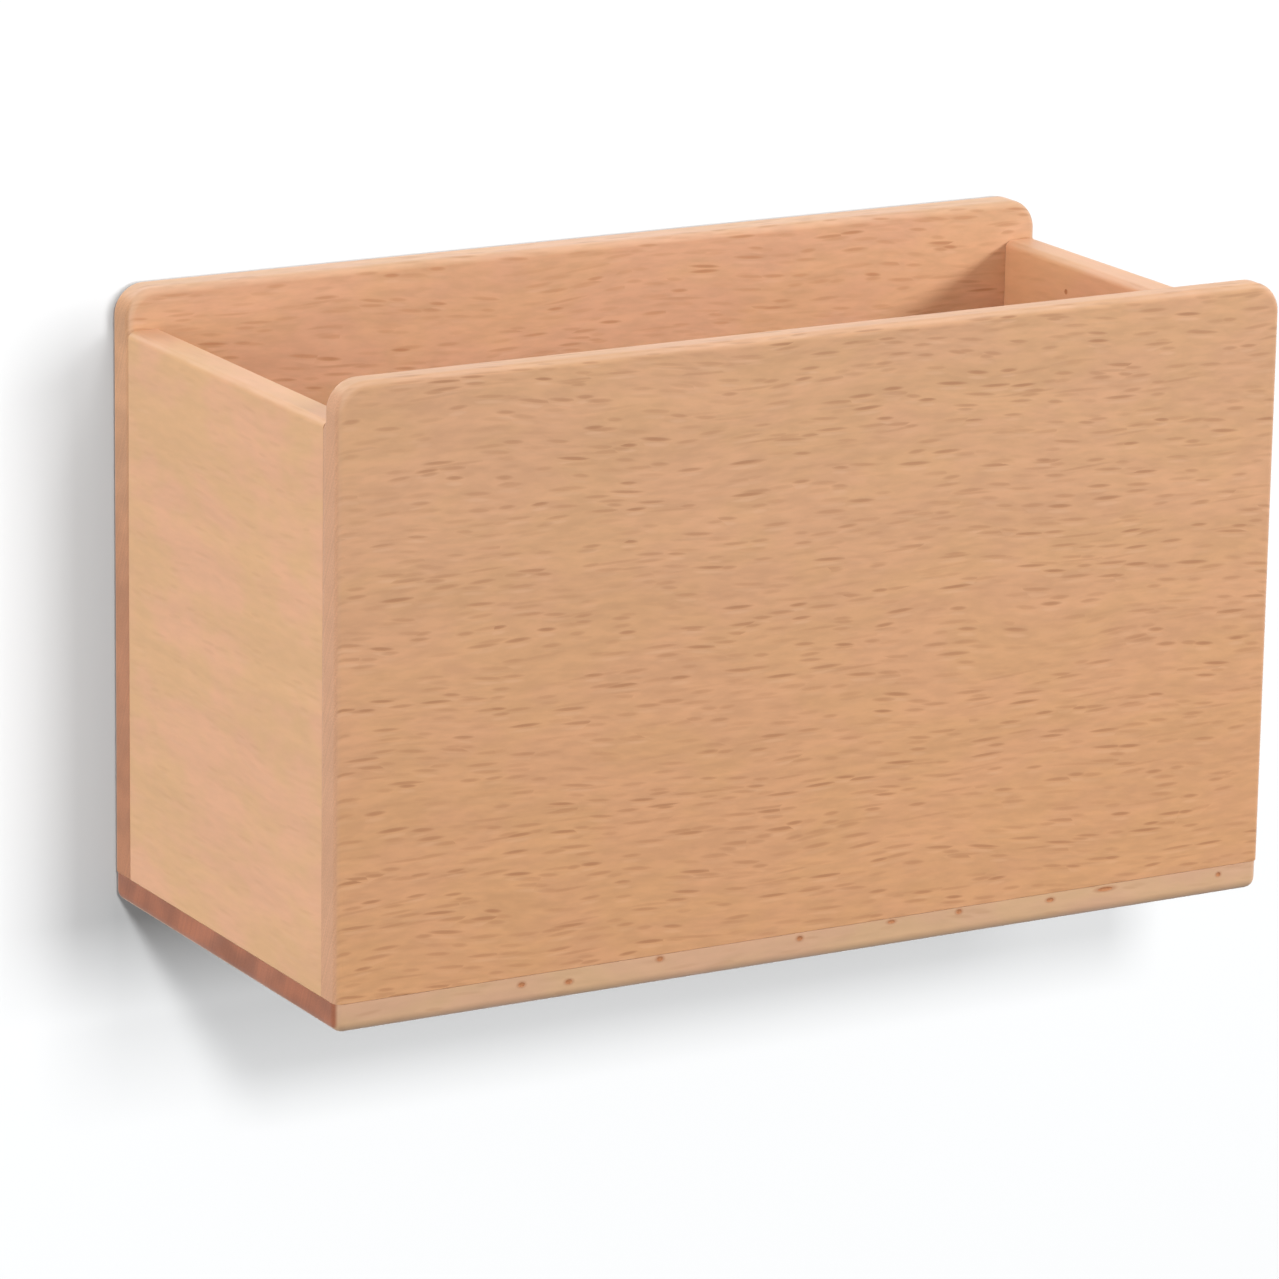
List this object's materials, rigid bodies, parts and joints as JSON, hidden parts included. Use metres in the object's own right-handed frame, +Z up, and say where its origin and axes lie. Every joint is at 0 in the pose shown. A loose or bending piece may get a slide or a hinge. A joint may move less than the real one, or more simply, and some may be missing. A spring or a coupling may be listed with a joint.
{
  "type": "whiteboard accessory holder",
  "caption": "Open-topped beech box with tall front and back panels, lower side panels and magnets let into its back, for markers and erasers on a steel whiteboard.",
  "frame": {"origin": "middle of the underside, below the centre of the box", "axes": "+Z up, -Y out of the front panel, +Y into the whiteboard behind, +X to the right as seen from the front"},
  "size_m": [0.185, 0.086, 0.111],
  "materials": {
    "face_beech": "satin clear lacquer over beech with short dark ray flecks",
    "side_beech": "satin clear lacquer over pale, quiet beech",
    "bottom_beech": "satin clear lacquer over beech, with darker end grain at both ends",
    "dowel_beech": "raw turned beech",
    "magnet_nickel": "satin nickel plate"
  },
  "bodies": {
    "root": {"front_panel": "face_beech", "back_panel": "face_beech", "left_side_panel": "side_beech", "right_side_panel": "side_beech", "bottom_panel": "bottom_beech", "upper_left_magnet": "magnet_nickel", "upper_right_magnet": "magnet_nickel", "lower_left_magnet": "magnet_nickel", "lower_right_magnet": "magnet_nickel", "front_left_lower_dowel": "dowel_beech", "front_left_upper_dowel": "dowel_beech", "front_right_lower_dowel": "dowel_beech", "front_right_upper_dowel": "dowel_beech", "back_left_lower_dowel": "dowel_beech", "back_left_upper_dowel": "dowel_beech", "back_right_lower_dowel": "dowel_beech", "back_right_upper_dowel": "dowel_beech", "bottom_front_left_dowel": "dowel_beech", "bottom_front_middle_dowel": "dowel_beech", "bottom_front_right_dowel": "dowel_beech", "bottom_back_left_dowel": "dowel_beech", "bottom_back_middle_dowel": "dowel_beech", "bottom_back_right_dowel": "dowel_beech", "bottom_left_side_dowel": "dowel_beech", "bottom_right_side_dowel": "dowel_beech"}
  },
  "joints": []
}
